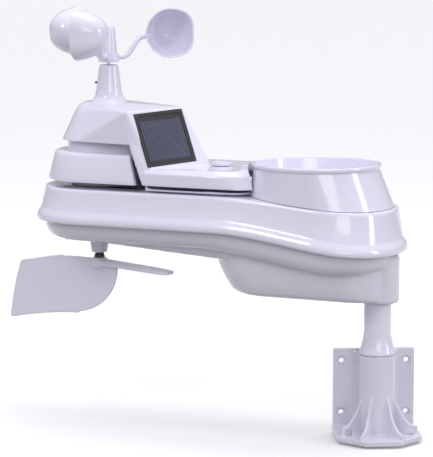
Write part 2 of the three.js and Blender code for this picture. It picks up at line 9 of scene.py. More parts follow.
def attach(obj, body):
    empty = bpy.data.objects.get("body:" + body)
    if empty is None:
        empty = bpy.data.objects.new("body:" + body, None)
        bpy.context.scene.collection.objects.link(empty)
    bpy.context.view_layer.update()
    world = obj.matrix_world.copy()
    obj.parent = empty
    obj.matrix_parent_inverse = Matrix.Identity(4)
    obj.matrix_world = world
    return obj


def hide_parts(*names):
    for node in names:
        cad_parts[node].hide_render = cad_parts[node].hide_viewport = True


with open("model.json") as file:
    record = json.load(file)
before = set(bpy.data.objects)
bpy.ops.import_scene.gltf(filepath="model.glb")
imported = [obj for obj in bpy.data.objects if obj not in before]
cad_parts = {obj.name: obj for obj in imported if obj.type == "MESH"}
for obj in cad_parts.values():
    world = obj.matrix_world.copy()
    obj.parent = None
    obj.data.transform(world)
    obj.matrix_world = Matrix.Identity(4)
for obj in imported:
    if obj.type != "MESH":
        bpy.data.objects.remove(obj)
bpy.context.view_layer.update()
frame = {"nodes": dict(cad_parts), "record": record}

# ---- Driving dimensions, in millimetres in the head's own frame, as in the CAD model ----
MM = 0.001
HEAD_TURN = math.radians(-28)
HOUSING_LEFT, HOUSING_RIGHT, HOUSING_HALF = -295.5, 19.5, 58.5
LIP_Z, LIP_DIP, RIM_Z, RIM_DIP = 162.0, 15.0, 190.0, 9.0
BELLY_Z, BELLY_DIP, BELLY_INSET = 146.6, 15.0, 7.0
SUMP_Z = 110.0
WALL = 2.4
SHIELD_X, LOUVRE_Z, LOUVRE_TOP, COVER_Z, COVER_TOP, DECK_Z = -237.0, 195.4, 219.0, 227.0, 258.0, 196.0
# The louvre's slanted cut beside the tower, as (x, z).
SLANT = ((-186, 190), (-198.7, 227.5), (-100, 190), (-100, 227.5))
DECK_LIFT, DECK_SHOULDER, DECK_TOP = 5.6, 205.4, 209.0
FACET_NX, FACET_NZ, FACET_REACH = 0.7424, 0.4226, -17.9
FACET_TURN, FACET_TILT = math.radians(35), math.radians(25)
PANEL_SIZE, PANEL_BORDER, PANEL_ALONG, PANEL_Z, PANEL_THICK = 45.0, 2.6, 29.0, 231.9, 1.4
PANEL_SPIN = math.radians(4)
CELL_LINES = 15
CELL_HALF_X, CELL_LOW, CELL_HIGH = 18.4, -15.6, 17.6
COLLECTOR_X, COLLECTOR_R, COLLECTOR_Z = -52.0, 51.0, 215.0
MAST_X, MAST_TOP, MAST_BORE, PIN_Z = -235.0, 288.0, 2.6, 273.0
HUB_Z, CUP_Z, CUP_R, CUP_DEPTH = 290.1, 313.5, 50.0, 0.8
CUP_ANGLES = (35.2, 155.2, 275.2)
VANE_X, VANE_Z, VANE_TURN = -245.0, 124.0, math.radians(-14.8)
POST_R, FLARE_R, FLARE_Z, TUBE_Z, POST_TOP = 10.7, 14.6, 66.4, 84.5, 146.0
SLEEVE_R, SLEEVE_BORE, SLEEVE_TOP = 14.8, 13.2, 66.0
BOSS_R, BOSS_Z, LOCK_Z, LOCK_BORE = 16.8, 107.5, 122.0, 2.2
PLATE_FRONT, PLATE_SHOULDER, PLATE_BACK = -36.0, -19.0, 20.0
PLATE_NOSE, PLATE_HALF, PLATE_THICK = 14.0, 33.0, 4.0
BACK_FACE, BACK_HALF, BACK_TOP = 16.5, 32.5, 67.0
WALL_HOLE_X, WALL_HOLE_ZS, WALL_HOLE_R, WALL_SINK_R = 26.0, (15.7, 57.5), 1.9, 3.5
FOOT_HOLE_X, FOOT_HOLE_Y, FOOT_HOLE_R, FOOT_SINK_R = 24.96, -13.0, 2.2, 3.8
GAP = 0.3
SHAFT_BORE = 1.8
ROUND = 96  # sides of a large turned face
DOOR_X0, DOOR_X1, DOOR_HALF, DOOR_THICK = -84.0, -26.0, 20.0, 2.1
LEVEL_X, LEVEL_Z = -134.0, 207.4

HEAD = Matrix.Rotation(HEAD_TURN, 4, "Z")
ROTOR = HEAD @ Matrix.Translation((MAST_X, 0, 0))
VANE = HEAD @ Matrix.Translation((VANE_X, 0, 0)) @ Matrix.Rotation(VANE_TURN, 4, "Z")
ROW = Matrix.Identity(4)


# ---- Outlines and solids, as bmeshes ----
def smoothstep(low, high, x):
    t = min(1.0, max(0.0, (x - low) / (high - low)))
    return t * t * (3 - 2 * t)


def lip_z(x):
    return LIP_Z - LIP_DIP * smoothstep(-120, HOUSING_RIGHT, x)


def rim_z(x):
    return RIM_Z - RIM_DIP * smoothstep(-120, HOUSING_RIGHT, x)


def belly_z(x):
    return BELLY_Z - BELLY_DIP * smoothstep(-140, -10, x)


def outline(left, right, half, z_at, count=160, full=2.35):
    """A rounded outline with a round left end and a fuller right end, counter-clockwise from above."""
    straight = max(2, count // 5)
    angles = [-math.pi / 2 + math.pi * i / (count // 2) for i in range(count // 2 + 1)]
    ring = []
    for a in angles:
        c, s = max(0.0, math.cos(a)), math.sin(a)
        power = 2 / full
        ring.append((right - half + half * c**power, half * math.copysign(abs(s) ** power, s)))
    span = (right - half) - (left + half)
    ring += [(right - half - span * i / straight, half) for i in range(1, straight)]
    ring += [(left + half - half * math.cos(a), -half * math.sin(a)) for a in angles]
    ring += [(left + half + span * i / straight, -half) for i in range(1, straight)]
    return [Vector((x, y, z_at(x))) for x, y in ring]


def circle(x, y, z, r, count=160):
    steps = [2 * math.pi * i / count for i in range(count)]
    return [Vector((x + r * math.cos(a), y + r * math.sin(a), z)) for a in steps]


def loft(rings, loop=False):
    """A skin through rings of equal count, capped at both ends or closed from its last ring to its first."""
    bm = bmesh.new()
    rows = [[bm.verts.new(p) for p in ring] for ring in rings]
    count = len(rows[0])
    pairs = list(zip(rows, rows[1:]))
    if loop:
        pairs.append((rows[-1], rows[0]))
    for low, high in pairs:
        for i in range(count):
            j = (i + 1) % count
            bm.faces.new((low[i], low[j], high[j], high[i]))
    if not loop:
        bm.faces.new(list(reversed(rows[0])))
        bm.faces.new(rows[-1])
    bmesh.ops.recalc_face_normals(bm, faces=bm.faces)
    return bm


def turned(profile, count=ROUND, x=0.0, y=0.0):
    """A turned piece about a vertical axis. A profile that starts and ends off the axis closes on itself."""
    loop = profile[0][0] > 0 and profile[-1][0] > 0
    fine = rounded(profile, loop)
    rings = [circle(x, y, z, max(r, 0.01), count) for r, z in fine]
    return loft(rings, loop)


def rounded(profile, loop=False, radius=0.55, steps=3):
    """The profile with each corner eased by a short arc."""
    points = [Vector(p) for p in profile]
    out = []
    last = len(points) - 1
    for k, p in enumerate(points):
        if not loop and k in (0, last):
            out.append(tuple(p))
            continue
        before, after = points[k - 1], points[(k + 1) % len(points)]
        a, b = before - p, after - p
        reach = min(radius, a.length * 0.4, b.length * 0.4)
        if reach < 0.02:
            out.append(tuple(p))
            continue
        start, end = p + a.normalized() * reach, p + b.normalized() * reach
        for i in range(steps + 1):
            t = i / steps
            out.append(tuple(start * (1 - t) ** 2 + p * 2 * t * (1 - t) + end * t * t))
    return out


def hull(points):
    bm = bmesh.new()
    verts = [bm.verts.new(p) for p in points]
    made = bmesh.ops.convex_hull(bm, input=verts)
    inside = set(made["geom_interior"]) | set(made["geom_unused"])
    bmesh.ops.delete(bm, geom=[v for v in inside if isinstance(v, bmesh.types.BMVert)], context="VERTS")
    bmesh.ops.recalc_face_normals(bm, faces=bm.faces)
    return bm


def block(x0, x1, y0, y1, z0, z1):
    return hull([Vector((x, y, z)) for x in (x0, x1) for y in (y0, y1) for z in (z0, z1)])


def prism(points, axis, low, high):
    """An outline of (a, b) pairs drawn out along axis 'y' or 'z' from low to high."""
    at = (lambda a, b, d: Vector((a, d, b))) if axis == "y" else (lambda a, b, d: Vector((a, b, d)))
    return loft([[at(a, b, low) for a, b in points], [at(a, b, high) for a, b in points]])


def rod(r, start, end, count=48):
    start, end = Vector(start), Vector(end)
    turn = Vector((0, 0, 1)).rotation_difference(end - start).to_matrix()
    return loft([[p + turn @ q for q in circle(0, 0, 0, r, count)] for p in (start, end)])


def sweep(points, radius, count=28, steps=10):
    """A round tube along a smooth curve through the points."""
    path = []
    ends = [points[0] * 2 - points[1], *points, points[-1] * 2 - points[-2]]
    for k in range(1, len(ends) - 2):
        p0, p1, p2, p3 = ends[k - 1 : k + 3]
        for i in range(steps):
            t = i / steps
            spread = (2 * p0 - 5 * p1 + 4 * p2 - p3) * t * t + (3 * p1 - p0 - 3 * p2 + p3) * t**3
            path.append(0.5 * (2 * p1 + (p2 - p0) * t + spread))
    path.append(points[-1])
    rings = []
    for i, p in enumerate(path):
        way = path[min(i + 1, len(path) - 1)] - path[max(i - 1, 0)]
        turn = Vector((0, 0, 1)).rotation_difference(way).to_matrix()
        rings.append([p + turn @ q for q in circle(0, 0, 0, radius, count)])
    return loft(rings)


def moved(bm, matrix):
    bmesh.ops.transform(bm, matrix=matrix, verts=bm.verts)
    return bm


# ---- From solids to finished pieces ----
def raw_object(name, *solids):
    mesh = bpy.data.meshes.new(name)
    whole = bmesh.new()
    for bm in solids:
        part = bpy.data.meshes.new("part")
        bm.to_mesh(part)
        whole.from_mesh(part)
        bpy.data.meshes.remove(part)
        bm.free()
    whole.to_mesh(mesh)
    whole.free()
    obj = bpy.data.objects.new(name, mesh)
    bpy.context.scene.collection.objects.link(obj)
    return obj


def bake(obj):
    """Applies the object's modifiers to its mesh."""
    evaluated = obj.evaluated_get(bpy.context.evaluated_depsgraph_get())
    mesh = bpy.data.meshes.new_from_object(evaluated)
    obj.modifiers.clear()
    obj.data = mesh
    return obj


def combine(obj, operation, *solids):
    for bm in solids:
        tool = raw_object("tool", bm)
        modifier = obj.modifiers.new("combine", "BOOLEAN")
        modifier.operation = operation
        modifier.solver = "EXACT"
        modifier.object = tool
        bake(obj)
        bpy.data.objects.remove(tool)
    return obj


def soften(obj, voxel, rounds):
    """Fuses overlapping solids into one moulding and eases its edges and inside corners."""
    remesh = obj.modifiers.new("fuse", "REMESH")
    remesh.mode = "VOXEL"
    remesh.voxel_size = voxel
    ease = obj.modifiers.new("ease", "SMOOTH")
    ease.factor = 0.5
    ease.iterations = rounds
    return bake(obj)


def piece(obj, matrix, body, slot, material, *nodes, sharp=40):
    """Puts a piece made in millimetres into the frame, shades it and ties it to its body."""
    obj.data.transform(Matrix.Scale(MM, 4) @ matrix)
    for polygon in obj.data.polygons:
        polygon.use_smooth = True
    obj.data.set_sharp_from_angle(angle=math.radians(sharp))
    obj.data.materials.clear()
    obj.data.materials.append(material)
    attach(obj, body)
    if nodes:
        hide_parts(*nodes)
    return obj


# ---- Materials ----
def material(name, color, roughness, metallic=0.0, coat=0.0, grain=900.0, bump=0.02, mottle=0.03):
    """Moulded plastic or metal: a faint drift of colour, an uneven polish and a fine surface grain."""
    made = bpy.data.materials.new(name)
    made.use_nodes = True
    nodes, links = made.node_tree.nodes, made.node_tree.links
    shader = nodes["Principled BSDF"]
    shader.inputs["Metallic"].default_value = metallic
    shader.inputs["Coat Weight"].default_value = coat
    shader.inputs["Coat Roughness"].default_value = 0.035
    place = nodes.new("ShaderNodeTexCoord")
    drift = nodes.new("ShaderNodeTexNoise")
    drift.inputs["Scale"].default_value = 14.0
    drift.inputs["Detail"].default_value = 4.0
    links.new(place.outputs["Object"], drift.inputs["Vector"])
    tint = nodes.new("ShaderNodeValToRGB")
    tint.color_ramp.elements[0].position = 0.3
    tint.color_ramp.elements[1].position = 0.7
    tint.color_ramp.elements[0].color = (*[c * (1 - mottle) for c in color], 1)
    tint.color_ramp.elements[1].color = (*color, 1)
    links.new(drift.outputs["Fac"], tint.inputs["Fac"])
    links.new(tint.outputs["Color"], shader.inputs["Base Color"])
    polish = nodes.new("ShaderNodeMapRange")
    polish.inputs["To Min"].default_value = roughness * 0.85
    polish.inputs["To Max"].default_value = roughness * 1.2
    links.new(drift.outputs["Fac"], polish.inputs["Value"])
    links.new(polish.outputs["Result"], shader.inputs["Roughness"])
    fine = nodes.new("ShaderNodeTexNoise")
    fine.inputs["Scale"].default_value = grain
    fine.inputs["Detail"].default_value = 2.0
    links.new(place.outputs["Object"], fine.inputs["Vector"])
    relief = nodes.new("ShaderNodeBump")
    relief.inputs["Strength"].default_value = bump
    relief.inputs["Distance"].default_value = 0.0002
    links.new(fine.outputs["Fac"], relief.inputs["Height"])
    links.new(relief.outputs["Normal"], shader.inputs["Normal"])
    return made


WHITE = material("white_abs", (0.76, 0.75, 0.885), 0.14, coat=0.4)
HOUSING = material("housing_abs", (0.70, 0.68, 0.79), 0.18, coat=0.3)
BORDER = material("panel_border", (0.018, 0.018, 0.022), 0.3, coat=0.15)
CELL = material("solar_cell", (0.042, 0.046, 0.09), 0.3, coat=0.2, mottle=0.25)
CELL_LINE = material("cell_line", (0.13, 0.15, 0.24), 0.35)
STEEL = material("steel", (0.62, 0.63, 0.65), 0.28, metallic=1.0, grain=2500.0, bump=0.05)
BLACK = material("black_plastic", (0.02, 0.02, 0.023), 0.45, grain=2000.0, bump=0.15)
BOARD = material("circuit_board", (0.02, 0.16, 0.07), 0.4, mottle=0.2)
BRONZE = material("bearing_bronze", (0.6, 0.43, 0.2), 0.35, metallic=1.0)
FLUID = material("level_fluid", (0.62, 0.66, 0.58), 0.08, coat=1.0)
BUBBLE = material("level_bubble", (0.8, 0.84, 0.76), 0.08, coat=1.0)
WRAP = material("cell_wrap", (0.03, 0.05, 0.16), 0.3, coat=0.4)

SLOT_MATERIALS = {
    "white_abs": WHITE, "housing_abs": HOUSING, "panel_border": BORDER, "solar_cell": CELL, "steel": STEEL,
    "black_plastic": BLACK, "circuit_board": BOARD, "bearing_bronze": BRONZE, "level_fluid": FLUID,
    "cell_wrap": WRAP,
}


def dress_cad_nodes():
    for part in frame["record"]["subparts"]:
        node = frame["nodes"][part["node"]]
        node.data.materials.clear()
        node.data.materials.append(SLOT_MATERIALS[part["material_slot"]])


# ---- Bracket and post ----
def rib(towards, side):
    """An upright rib from the sleeve towards a point on the plate; the side view lists (distance, z)."""
    turn = Matrix.Rotation(math.atan2(towards[1], towards[0]), 4, "Z")
    return moved(prism(side, "y", -1.1, 1.1), turn)


WIDE_RIB = [
    (12, 40), (13.6, 36), (15.4, 32), (17.8, 26.4), (21, 20.5), (24.4, 15.6),
    (28, 12.4), (31, 11.5), (34, 11.4), (34, 2), (12, 2),
]
LONG_RIB = [
    (12, 41), (13.6, 37.4), (15.4, 33), (17.8, 25.6), (21, 18.5), (25, 12.6),
    (29, 9.5), (33, 7.7), (37, 7), (37, 2), (12, 2),
]


def make_bracket():
    """One moulding: a base plate, a sleeve for the post, a back plate, two webs and four ribs."""
    edge = [(-PLATE_NOSE, PLATE_FRONT), (PLATE_NOSE, PLATE_FRONT), (PLATE_HALF, PLATE_SHOULDER),
            (PLATE_HALF, PLATE_BACK), (-PLATE_HALF, PLATE_BACK), (-PLATE_HALF, PLATE_SHOULDER)]
    sleeve = rod(SLEEVE_R, (0, 0, 0.4), (0, 0, SLEEVE_TOP), ROUND)
    back_plate = block(-BACK_HALF, BACK_HALF, BACK_FACE, PLATE_BACK, 0.4, BACK_TOP)
    solids = [prism(edge, "z", 0.0, PLATE_THICK), sleeve, back_plate]
    for side in (-1, 1):
        web = [(side * 12, 3), (side * 19, BACK_FACE + 1), (side * 15.5, BACK_FACE + 1), (side * 9, 5)]
        solids += [prism(web, "z", 0.5, BACK_TOP - 1), rib((side * 31, -17), WIDE_RIB)]
        solids.append(rib((side * 17.5, -34), LONG_RIB))
    obj = soften(raw_object("bracket_moulding", *solids), voxel=0.62, rounds=3)
    cuts = [rod(SLEEVE_BORE, (0, 0, PLATE_THICK), (0, 0, SLEEVE_TOP + 9), ROUND)]
    for side in (-1, 1):
        x = side * WALL_HOLE_X
        for z in WALL_HOLE_ZS:
            cuts.append(rod(WALL_HOLE_R, (x, 10, z), (x, 25, z)))
            cuts.append(rod(WALL_SINK_R, (x, 10, z), (x, BACK_FACE + 1.2, z)))
        x, y = side * FOOT_HOLE_X, FOOT_HOLE_Y
        cuts.append(rod(FOOT_HOLE_R, (x, y, -5), (x, y, 9)))
        cuts.append(rod(FOOT_SINK_R, (x, y, PLATE_THICK - 1.4), (x, y, 9)))
    combine(obj, "DIFFERENCE", *cuts)
    piece(obj, ROW, "bracket", "housing_abs", HOUSING, "mounting_bracket")


def make_post():
    """A tube closed at its foot: a plug in the sleeve, a flared shoulder on it and a long neck."""
    plug_r, bore, floor = SLEEVE_BORE - GAP, 8.4, PLATE_THICK + GAP
    flare = [(FLARE_R, FLARE_Z), (FLARE_R, FLARE_Z + 1.6), (13.2, 71.5), (12.0, 76.5), (11.2, 80.5)]
    profile = [(0, floor), (plug_r, floor), (plug_r, FLARE_Z), *flare, (POST_R, TUBE_Z), (POST_R, POST_TOP),
               (bore, POST_TOP), (bore, floor + 2.2), (0, floor + 2.2)]
    post = raw_object("post_tube_turned", turned(profile))
    piece(post, ROW, "bracket", "white_abs", WHITE, "post_tube", sharp=50)


# ---- Housing ----
def shell_ring(inset, z_at):
    return outline(HOUSING_LEFT + inset, HOUSING_RIGHT - inset, HOUSING_HALF - inset, z_at)


def make_skirt():
    """The outer shell: rolled lip, cove, sloping wall and flat top, closed through its inside."""
    outer = [(2.6, 0.1), (1.6, 0.0), (0.7, 0.5), (0.15, 1.5), (0.0, 2.8), (0.25, 4.3), (0.9, 6.0), (1.9, 7.8),
             (3.0, 9.3), (3.9, 11.0)]
    below_rim = [(6.9, 3.4), (7.3, 1.9), (7.8, 0.8), (8.6, 0.15), (9.6, 0.0), (30.0, 0.0)]
    inner = [(30.0, -2.4), (10.4, -2.4), (9.2, -4.2)]
    rings = [shell_ring(inset, lambda x, up=up: lip_z(x) + up) for inset, up in outer]
    rings += [shell_ring(inset, lambda x, down=down: rim_z(x) - down) for inset, down in below_rim]
    rings += [shell_ring(inset, lambda x, up=up: rim_z(x) + up) for inset, up in inner]
    rings += [shell_ring(6.2, lambda x: lip_z(x) + 10), shell_ring(3.2, lambda x: lip_z(x) + 3)]
    obj = raw_object("skirt_moulding", loft(rings, loop=True))
    piece(obj, HEAD, "head", "white_abs", WHITE, "skirt_shell")


def sump():
    """The deep bowl under the collector; a level lists its left end, half width and height."""
    levels = [(-112, 28.5, 0), (-117, 31.5, 0.8), (-121.5, 34, 3.5), (-125.5, 36, 9), (-129, 37.2, 15),
              (-132.5, 38, 22), (-140, 39, 46)]
    right = 10
    return loft([outline(left, right, half, lambda x, up=up: SUMP_Z + up, full=2.2)
                 for left, half, up in levels])


def make_under_housing():
    def ring(inset, z_at):
        return outline(HOUSING_LEFT + inset, HOUSING_RIGHT - inset + 1, HOUSING_HALF - inset, z_at)

    levels = [(23, 0), (17.5, 0.4), (13, 2.2), (9.9, 5), (8, 8.6), (7.1, 12.5), (7, 15)]
    rings = [ring(inset, lambda x, up=up: belly_z(x) + up) for inset, up in levels]
    rings.append(ring(BELLY_INSET, lambda x: lip_z(x) + 4.5))
    boss = turned([(0, BOSS_Z), (BOSS_R - 1.2, BOSS_Z), (BOSS_R, BOSS_Z + 1.2), (BOSS_R, 143), (13, 146.5),
                   (13, 150), (0, 150)])
    web_ends = ((-14, 26), (2, 15))
    web = hull([Vector((x, y, z)) for x, half in web_ends for y in (-half, half) for z in (117, 146)])
    vane_side = [(0, 132), (6.6, 132), (7.4, 138), (8.2, 144), (10.5, 147.5), (10.5, 152), (0, 152)]
    solids = [loft(rings), sump(), boss, web, turned(vane_side, x=VANE_X)]
    obj = soften(raw_object("under_moulding", *solids), voxel=1.15, rounds=7)
    cuts = [rod(POST_R + 0.35, (0, 0, 100), (0, 0, POST_TOP + 1), ROUND),
            block(DOOR_X0, DOOR_X1, -DOOR_HALF, DOOR_HALF, 100, SUMP_Z + 3.2),
            rod(2.2, (VANE_X, 0, 120), (VANE_X, 0, 156)),
            rod(LOCK_BORE, (0, POST_R, LOCK_Z), (0, 30, LOCK_Z))]
    combine(obj, "DIFFERENCE", *cuts)
    piece(obj, HEAD, "head", "housing_abs", HOUSING, "under_housing")


# ---- Radiation shield and tower ----
def facet(along, z, side, inset=0.0):
    ridge = (FACET_REACH - FACET_NZ * z - inset) / FACET_NX
    return Vector((ridge - along * math.sin(FACET_TURN), side * along * math.cos(FACET_TURN), z))


def panel_matrix():
    """The near facet's own frame: x to the left of the nose, y down the slope, z out of the face."""
    t, a = FACET_TILT, FACET_TURN
    out = Vector((math.cos(a) * math.cos(t), -math.sin(a) * math.cos(t), math.sin(t)))
    across = Vector((-math.sin(a), -math.cos(a), 0))
    basis = Matrix((across, out.cross(across), out)).transposed().to_4x4()
    return Matrix.Translation(facet(PANEL_ALONG, PANEL_Z, -1)) @ basis @ Matrix.Rotation(PANEL_SPIN, 4, "Z")


PANEL = panel_matrix()


def side_wall(side, inset, steps=10):
    """Points on the cover's side wall: a swollen, twisted sheet from the round end to the panel's edge."""
    swell = 2.3
    low_left, low_right = Vector((-234, side * 38, COVER_Z)), Vector((-188, side * 44, COVER_Z))
    high_left, high_right = Vector((-234, side * 27.5, 252)), facet(52, 253.2, side)
    points = []
    for i in range(steps + 1):
        for j in range(steps + 1):
            up, along = i / steps, j / steps
            p = low_left.lerp(low_right, along).lerp(high_left.lerp(high_right, along), up)
            p.y += side * (swell * math.sin(math.pi * up) * math.sin(math.pi * along) - inset)
            p.z -= inset * up
            points.append(p)
    return points


def cover_solids(inset=0.0):
    low = COVER_Z - (4 if inset else 0)
    dome = []
    for r, z in ((38, low), (33.2, 237), (28.6, 247), (26.4, 251.5), (23.2, 255.6), (18.5, COVER_TOP)):
        dome += circle(SHIELD_X + 1, 0, z - (inset if z > 250 else 0), r - inset, ROUND)
    tower, half = [], 45 - inset
    for side in (-1, 1):
        dome += [Vector((-196, side * half, low)), facet(51 - inset, COVER_Z, side, inset)]
        dome += [facet(0.5, COVER_Z, side, inset), facet(0.5, 255 - inset, side, inset)]
        dome += side_wall(side, inset)
        tower.append(Vector((-194 + inset, side * half, 224)))
        tower.append(Vector((-181 + inset, side * (50 - inset), DECK_Z - inset)))
        tower += [facet(59 - inset, DECK_Z - inset, side, inset), facet(0.5, DECK_Z - inset, side, inset)]
        tower += [facet(51 - inset, 229, side, inset), facet(0.5, 229, side, inset)]
        tower.append(Vector((-194, side * half, 229)))

    def deck_ring(right, half_width, z_at):
        ring = outline(-178 - half_width, right - inset, half_width - inset, z_at, full=4.0)
        return [Vector((max(p.x, -180 + inset), p.y, p.z)) for p in ring]

    deck = loft([deck_ring(-87.5, 50, lambda x: rim_z(x) + DECK_LIFT - inset),
                 deck_ring(-93, 48.8, lambda x: DECK_SHOULDER),
                 deck_ring(-99, 44.5, lambda x: DECK_TOP - inset)])
    plinth = loft([deck_ring(-94, 46, lambda x: rim_z(x) + 1.2 - inset), deck_ring(-94, 46, lambda x: 200)])
    return [hull(dome), hull(tower), deck, plinth]


def collector_foot(inset, height):
    left = COLLECTOR_X - 54 + inset
    return outline(left, 9.5 - inset, 50.5 - inset, lambda x: rim_z(x) + height, full=2.15)


def mesh_of(obj):
    """The object's mesh as a solid, with the object itself removed."""
    bm = bmesh.new()
    bm.from_mesh(obj.data)
    bpy.data.objects.remove(obj)
    return bm


def make_cover():
    """Shield dome, tower, deck and mast in one hollow moulding, cut for its panel, level and collector."""
    mast = turned([(0, 252), (18, 252), (16.5, 257.2), (13.6, 259.2), (11.6, 262), (10.5, 267),
                   (8.0, MAST_TOP - 1.2), (7.5, MAST_TOP), (0, MAST_TOP)], x=MAST_X)
    well = [loft([collector_foot(-grow, -20), collector_foot(-grow, 45)]) for grow in (6.0, 0.5)]
    strip = block(-130, -98, -24, 24, DECK_SHOULDER, DECK_TOP + 4)
    collar = mesh_of(combine(raw_object("collar", well[0]), "INTERSECT", strip))
    obj = soften(raw_object("cover_moulding", *cover_solids(), mast, collar), voxel=0.8, rounds=5)
    hollow = mesh_of(soften(raw_object("hollow", *cover_solids(WALL)), voxel=1.6, rounds=2))
    reach = PANEL_SIZE / 2 + GAP
    pocket = moved(block(-reach, reach, -reach, reach, -PANEL_THICK - GAP, 12), PANEL)
    mast_bore = rod(MAST_BORE, (MAST_X, 0, 240), (MAST_X, 0, 300))
    level_hole = rod(6.4, (LEVEL_X, 0, LEVEL_Z - GAP), (LEVEL_X, 0, LEVEL_Z + 9), ROUND)
    pin_hole = rod(1.3, (MAST_X - 20, 0, PIN_Z), (MAST_X - 6, 0, PIN_Z))
    combine(obj, "DIFFERENCE", hollow, well[1], pocket, mast_bore, level_hole, pin_hole)
    piece(obj, HEAD, "head", "white_abs", WHITE, "top_cover")


def make_louver():
    """The middle louvre: a sloping hood, open below, with a collar that rises into the cover."""
    def at(r, z, right=-140):
        return outline(SHIELD_X - r, right, r, lambda x: z, full=2.0)

    hood = [(48.3, LOUVRE_Z), (48.6, LOUVRE_Z + 1), (48.2, 198.5), (43.4, 215.5), (42.4, 217.6),
            (40.6, 218.7), (39, LOUVRE_TOP)]
    collar = [(33, 216.5), (32.6, 218.4), (32.2, 219.2), (32, 226.6), (31.6, COVER_Z)]
    obj = raw_object("louver_moulding", loft([at(r, z) for r, z in hood]))
    hollow = loft([at(46, 192, -130), at(40.2, 215.4, -130)])
    combine(obj, "DIFFERENCE", hollow, loft([at(27, 210, -120), at(27, 223, -120)]))
    combine(obj, "UNION", loft([at(r, z) for r, z in collar]))
    cut = hull([Vector((x, y, z)) for y in (-70, 70) for x, z in SLANT])
    combine(obj, "DIFFERENCE", loft([at(29.6, 214, -120), at(29.6, 230, -120)]), cut)
    piece(obj, HEAD, "head", "white_abs", WHITE, "middle_louver")


def make_neck():
    profile = [(27.6, 190.4), (30, 190.4), (30, 214), (27.6, 214)]
    neck = raw_object("neck_turned", turned(profile, x=SHIELD_X))
    piece(neck, HEAD, "head", "housing_abs", HOUSING, "shield_neck")


def square(half, z, corner=1.2, steps=6):
    """A square outline about the origin with round corners."""
    points = []
    for quarter, (sx, sy) in enumerate(((1, 1), (-1, 1), (-1, -1), (1, -1))):
        for i in range(steps + 1):
            a = (quarter + i / steps) * math.pi / 2
            dx, dy = math.cos(a) * corner, math.sin(a) * corner
            points.append(Vector((sx * (half - corner) + dx, sy * (half - corner) + dy, z)))
    return points


def make_panel():
    """The panel's border, its backing, and the cell's strips with the fine lines between them."""
    half, window = PANEL_SIZE / 2, PANEL_SIZE / 2 - PANEL_BORDER
    border_side = ((half, -PANEL_THICK), (half, -0.25), (half - 0.25, 0), (window + 0.3, 0), (window, -0.3),
                   (window, -PANEL_THICK))
    border = raw_object("panel_border_ring", loft([square(h, z) for h, z in border_side], loop=True))
    piece(border, HEAD @ PANEL, "head", "panel_border", BORDER, "solar_panel_frame")
    sheet = raw_object("cell_backing", loft([square(window - 0.3, -PANEL_THICK), square(window - 0.3, -0.5)]))
    piece(sheet, HEAD @ PANEL, "head", "solar_cell", BORDER, "solar_cells")
    pitch, line_half = 2 * CELL_HALF_X / CELL_LINES, 0.16
    edges = [-CELL_HALF_X + pitch * i for i in range(CELL_LINES)]
    strips = [block(x + 0.18, x + pitch - 0.18, CELL_LOW, CELL_HIGH, -0.6, -0.34) for x in edges]
    edges.append(CELL_HALF_X)
    lines = [block(x - line_half, x + line_half, CELL_LOW, CELL_HIGH, -0.6, -0.36) for x in edges]
    piece(raw_object("cell_strips", *strips), HEAD @ PANEL, "head", "solar_cell", CELL)
    piece(raw_object("cell_lines", *lines), HEAD @ PANEL, "head", "solar_cell", CELL_LINE)


def make_level():
    """The bubble level: a flanged ring, its lens and the bubble, each profile as (radius, height)."""
    def raised(profile):
        return [(r, LEVEL_Z + up) for r, up in profile]

    ring = raised([(0, 0), (6, 0), (6, 1.9), (8.2, 1.9), (8.2, 4.2), (7.6, 4.8), (5.2, 4.8), (4.8, 1.6),
                   (0, 1.6)])
    lens = raised([(0, 1.9), (4.6, 1.9), (4.6, 3.6), (3.6, 4.2), (2, 4.5), (0, 4.6)])
    bubble = raised([(0, 4.3), (1.3, 4.4), (1.7, 4.75), (1.2, 4.95), (0, 5.0)])
    ring = raw_object("level_ring", turned(ring, x=LEVEL_X))
    piece(ring, HEAD, "head", "white_abs", WHITE, "level_cup")
    lens = raw_object("level_vial_lens", turned(lens, x=LEVEL_X))
    piece(lens, HEAD, "head", "level_fluid", FLUID, "level_vial")
    bubble = raw_object("level_bubble", turned(bubble, 48, LEVEL_X + 0.6))
    piece(bubble, HEAD, "head", "level_fluid", BUBBLE)


# ---- Cup anemometer; a cup's sections list (radius, distance along its axis) ----
def cup_point(r, y, a):
    """A cup's section is a round, drawn in towards the hub and squarer on its far side."""
    c, s = math.cos(a), math.sin(a)
    blend = smoothstep(0, 18, r)
    power = 1 - 0.3 * blend * max(0.0, c) ** 0.5 if c > 0 else 1.0
    x = 0.99 * r * abs(c) ** power * math.copysign(1, c)
    z = r * abs(s) ** (power if c > 0 else 1 + 0.12 * blend) * math.copysign(1, s)
    return Vector((CUP_R + x, y, CUP_Z + z))


CUP_OUTER = [
    (0, 24), (3.2, 23.75), (6, 22.9), (8.8, 21.3), (11.2, 19), (13.3, 16), (15.3, 12.2), (17.1, 7.8),
    (18.6, 3), (19.7, -2), (20.3, -5.4), (20.6, -6.2), (20.2, -6.6),
]
CUP_INNER = [
    (19.0, -6.2), (18.4, -3), (17.2, 2.2), (15.6, 7.4), (13.6, 11.9), (11.4, 15.4), (9, 18.2), (6.4, 20.3),
    (3.4, 21.5), (0, 21.8),
]
ARM_RISE = ((8.0, 3.9), (12.6, 4.2), (17.2, 7.2), (21.2, 13.4), (26, 19.4), (33.2, 21.4))
HUB_SIDE = (
    (0, 0), (8.7, 0), (8.7, 2.8), (7.9, 5.4), (7.0, 8.4), (6.3, 15.4), (5.6, 23.4), (5.1, 27.8), (4.2, 29.4),
    (0, 29.4),
)


